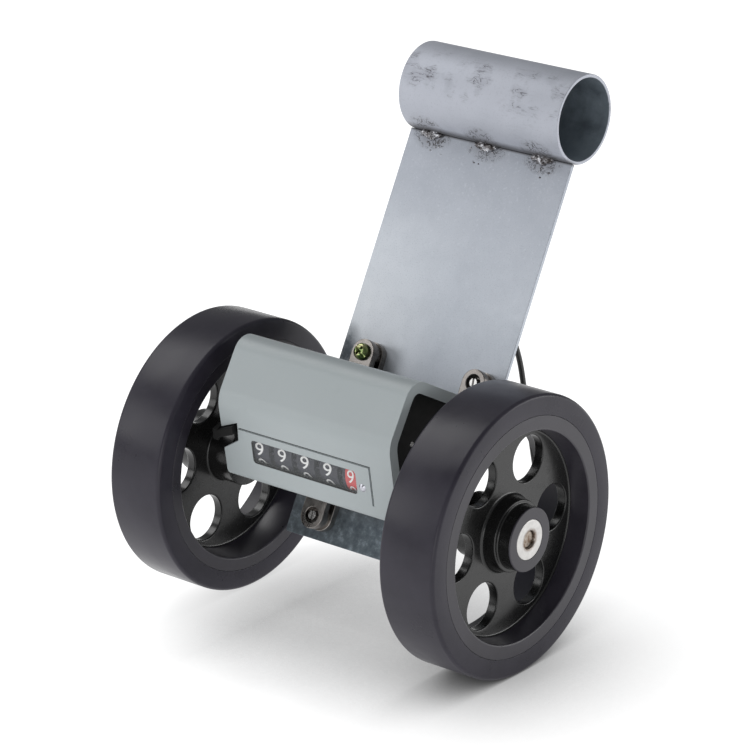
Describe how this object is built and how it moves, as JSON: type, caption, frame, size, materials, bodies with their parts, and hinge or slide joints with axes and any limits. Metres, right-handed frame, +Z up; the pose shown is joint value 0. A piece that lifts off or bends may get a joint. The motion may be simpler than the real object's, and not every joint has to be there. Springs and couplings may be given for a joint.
{
  "type": "measuring wheel",
  "caption": "Rolling length counter: rubber-tyred wheels on a geared axle turn number drums in a housing on a bracket with a tube for a guide rod.",
  "frame": {"origin": "centre of the object's footprint box on the ground, under the wheels and the wire stand", "axes": "+X along the axle and the support tube to the right as seen from the window side, +Y to the back, +Z up; the bracket plate leans back 28.28 degrees from +Z"},
  "size_m": [0.142, 0.1408, 0.179],
  "materials": {
    "housing_grey": "fine satin moulded, grey with a green cast",
    "black_plastic": "satin moulded black",
    "tyre_rubber": "smooth black rubber, matt",
    "galvanised": "zinc-coated sheet with a faint spangle",
    "tube_steel": "zinc-coated tube with fine dark scratches",
    "weld_metal": "lumpy, silvered over",
    "nickel": "warm nickel plate",
    "zinc_yellow": "yellow-green zinc passivate",
    "steel": "turned bright steel",
    "brass": "turned",
    "lens_clear": "clear, thin",
    "drum_black": "satin black with white numerals",
    "drum_red": "satin red with white numerals",
    "gear_nylon": "natural nylon",
    "wire_black": "black coated steel wire"
  },
  "bodies": {
    "frame": {"bracket_plate": "galvanised", "support_tube": "tube_steel", "weld_beads": "weld_metal", "housing": "housing_grey", "window_lens": "lens_clear", "panel_pin": "nickel", "left_end_plate": "black_plastic", "right_end_plate": "black_plastic", "left_bearing": "brass", "right_bearing": "brass", "base_plate": "nickel", "rear_straps": "nickel", "spacer_sleeves": "nickel", "pan_screw": "zinc_yellow", "washers": "zinc_yellow", "hex_nut": "zinc_yellow", "slotted_screws": "steel", "idler_shaft": "steel", "drum_shaft": "steel", "carry_shaft": "steel", "drum_spacer": "black_plastic", "carry_spacer": "black_plastic", "idler_spacer": "black_plastic", "reset_spring": "steel", "stand_clips": "tube_steel", "clip_rivets": "steel"},
    "wheelset": {"axle_shaft": "steel", "left_wheel_rim": "black_plastic", "right_wheel_rim": "black_plastic", "left_tyre": "tyre_rubber", "right_tyre": "tyre_rubber", "left_hub_insert": "steel", "right_hub_insert": "steel", "hub_set_screws": "steel", "left_axle_spacer": "black_plastic", "right_axle_spacer": "black_plastic", "axle_gear": "brass"},
    "idler": {"idler_gear": "gear_nylon"},
    "tenths": {"drum_tenths": "drum_black", "tenths_red_band": "drum_red"},
    "units": {"drum_units": "drum_black"},
    "tens": {"drum_tens": "drum_black"},
    "hundreds": {"drum_hundreds": "drum_black"},
    "thousands": {"drum_thousands": "drum_black"},
    "units_pinion": {"carry_pinion_units": "gear_nylon"},
    "tens_pinion": {"carry_pinion_tens": "gear_nylon"},
    "hundreds_pinion": {"carry_pinion_hundreds": "gear_nylon"},
    "thousands_pinion": {"carry_pinion_thousands": "gear_nylon"},
    "reset": {"reset_lever": "black_plastic", "reset_shaft": "steel", "reset_fingers": "steel"},
    "stand": {"wire_stand": "wire_black"}
  },
  "joints": [
    {"name": "axle_spin", "type": "hinge", "parent": "frame", "child": "wheelset", "pos_m": [0, -0.02269, 0.04775], "axis": [1, 0, 0], "continuous": true},
    {"name": "idler_spin", "type": "hinge", "parent": "frame", "child": "idler", "pos_m": [0, -0.02481, 0.06108], "axis": [1, 0, 0], "continuous": true},
    {"name": "tenths_spin", "type": "hinge", "parent": "frame", "child": "tenths", "pos_m": [0, -0.03881, 0.06445], "axis": [1, 0, 0], "continuous": true},
    {"name": "units_spin", "type": "hinge", "parent": "frame", "child": "units", "pos_m": [0, -0.03881, 0.06445], "axis": [1, 0, 0], "continuous": true},
    {"name": "units_pinion_spin", "type": "hinge", "parent": "frame", "child": "units_pinion", "pos_m": [0, -0.0335, 0.07431], "axis": [1, 0, 0], "continuous": true},
    {"name": "tens_spin", "type": "hinge", "parent": "frame", "child": "tens", "pos_m": [0, -0.03881, 0.06445], "axis": [1, 0, 0], "continuous": true},
    {"name": "tens_pinion_spin", "type": "hinge", "parent": "frame", "child": "tens_pinion", "pos_m": [0, -0.0335, 0.07431], "axis": [1, 0, 0], "continuous": true},
    {"name": "hundreds_spin", "type": "hinge", "parent": "frame", "child": "hundreds", "pos_m": [0, -0.03881, 0.06445], "axis": [1, 0, 0], "continuous": true},
    {"name": "hundreds_pinion_spin", "type": "hinge", "parent": "frame", "child": "hundreds_pinion", "pos_m": [0, -0.0335, 0.07431], "axis": [1, 0, 0], "continuous": true},
    {"name": "thousands_spin", "type": "hinge", "parent": "frame", "child": "thousands", "pos_m": [0, -0.03881, 0.06445], "axis": [1, 0, 0], "continuous": true},
    {"name": "thousands_pinion_spin", "type": "hinge", "parent": "frame", "child": "thousands_pinion", "pos_m": [0, -0.0335, 0.07431], "axis": [1, 0, 0], "continuous": true},
    {"name": "reset_press", "type": "hinge", "parent": "frame", "child": "reset", "pos_m": [0, -0.02047, 0.07721], "axis": [1, 0, 0], "range_deg": [0, 5], "stiffness_Nm_per_rad": 0.02, "springref_deg": -20.05},
    {"name": "stand_fold", "type": "hinge", "parent": "frame", "child": "stand", "pos_m": [0, 0.02582, 0.10341], "axis": [-1, 0, 0], "range_deg": [0, 44]}
  ],
  "couplings": [
    {"joint": "idler_spin", "follows": "axle_spin", "ratio": -0.5},
    {"joint": "tenths_spin", "follows": "axle_spin", "ratio": 0.3},
    {"joint": "units_spin", "follows": "axle_spin", "ratio": 0.03},
    {"joint": "units_pinion_spin", "follows": "axle_spin", "ratio": -0.075},
    {"joint": "tens_spin", "follows": "axle_spin", "ratio": 0.003},
    {"joint": "tens_pinion_spin", "follows": "axle_spin", "ratio": -0.0075},
    {"joint": "hundreds_spin", "follows": "axle_spin", "ratio": 0.0003},
    {"joint": "hundreds_pinion_spin", "follows": "axle_spin", "ratio": -0.00075},
    {"joint": "thousands_spin", "follows": "axle_spin", "ratio": 0.00003},
    {"joint": "thousands_pinion_spin", "follows": "axle_spin", "ratio": -0.000075}
  ]
}
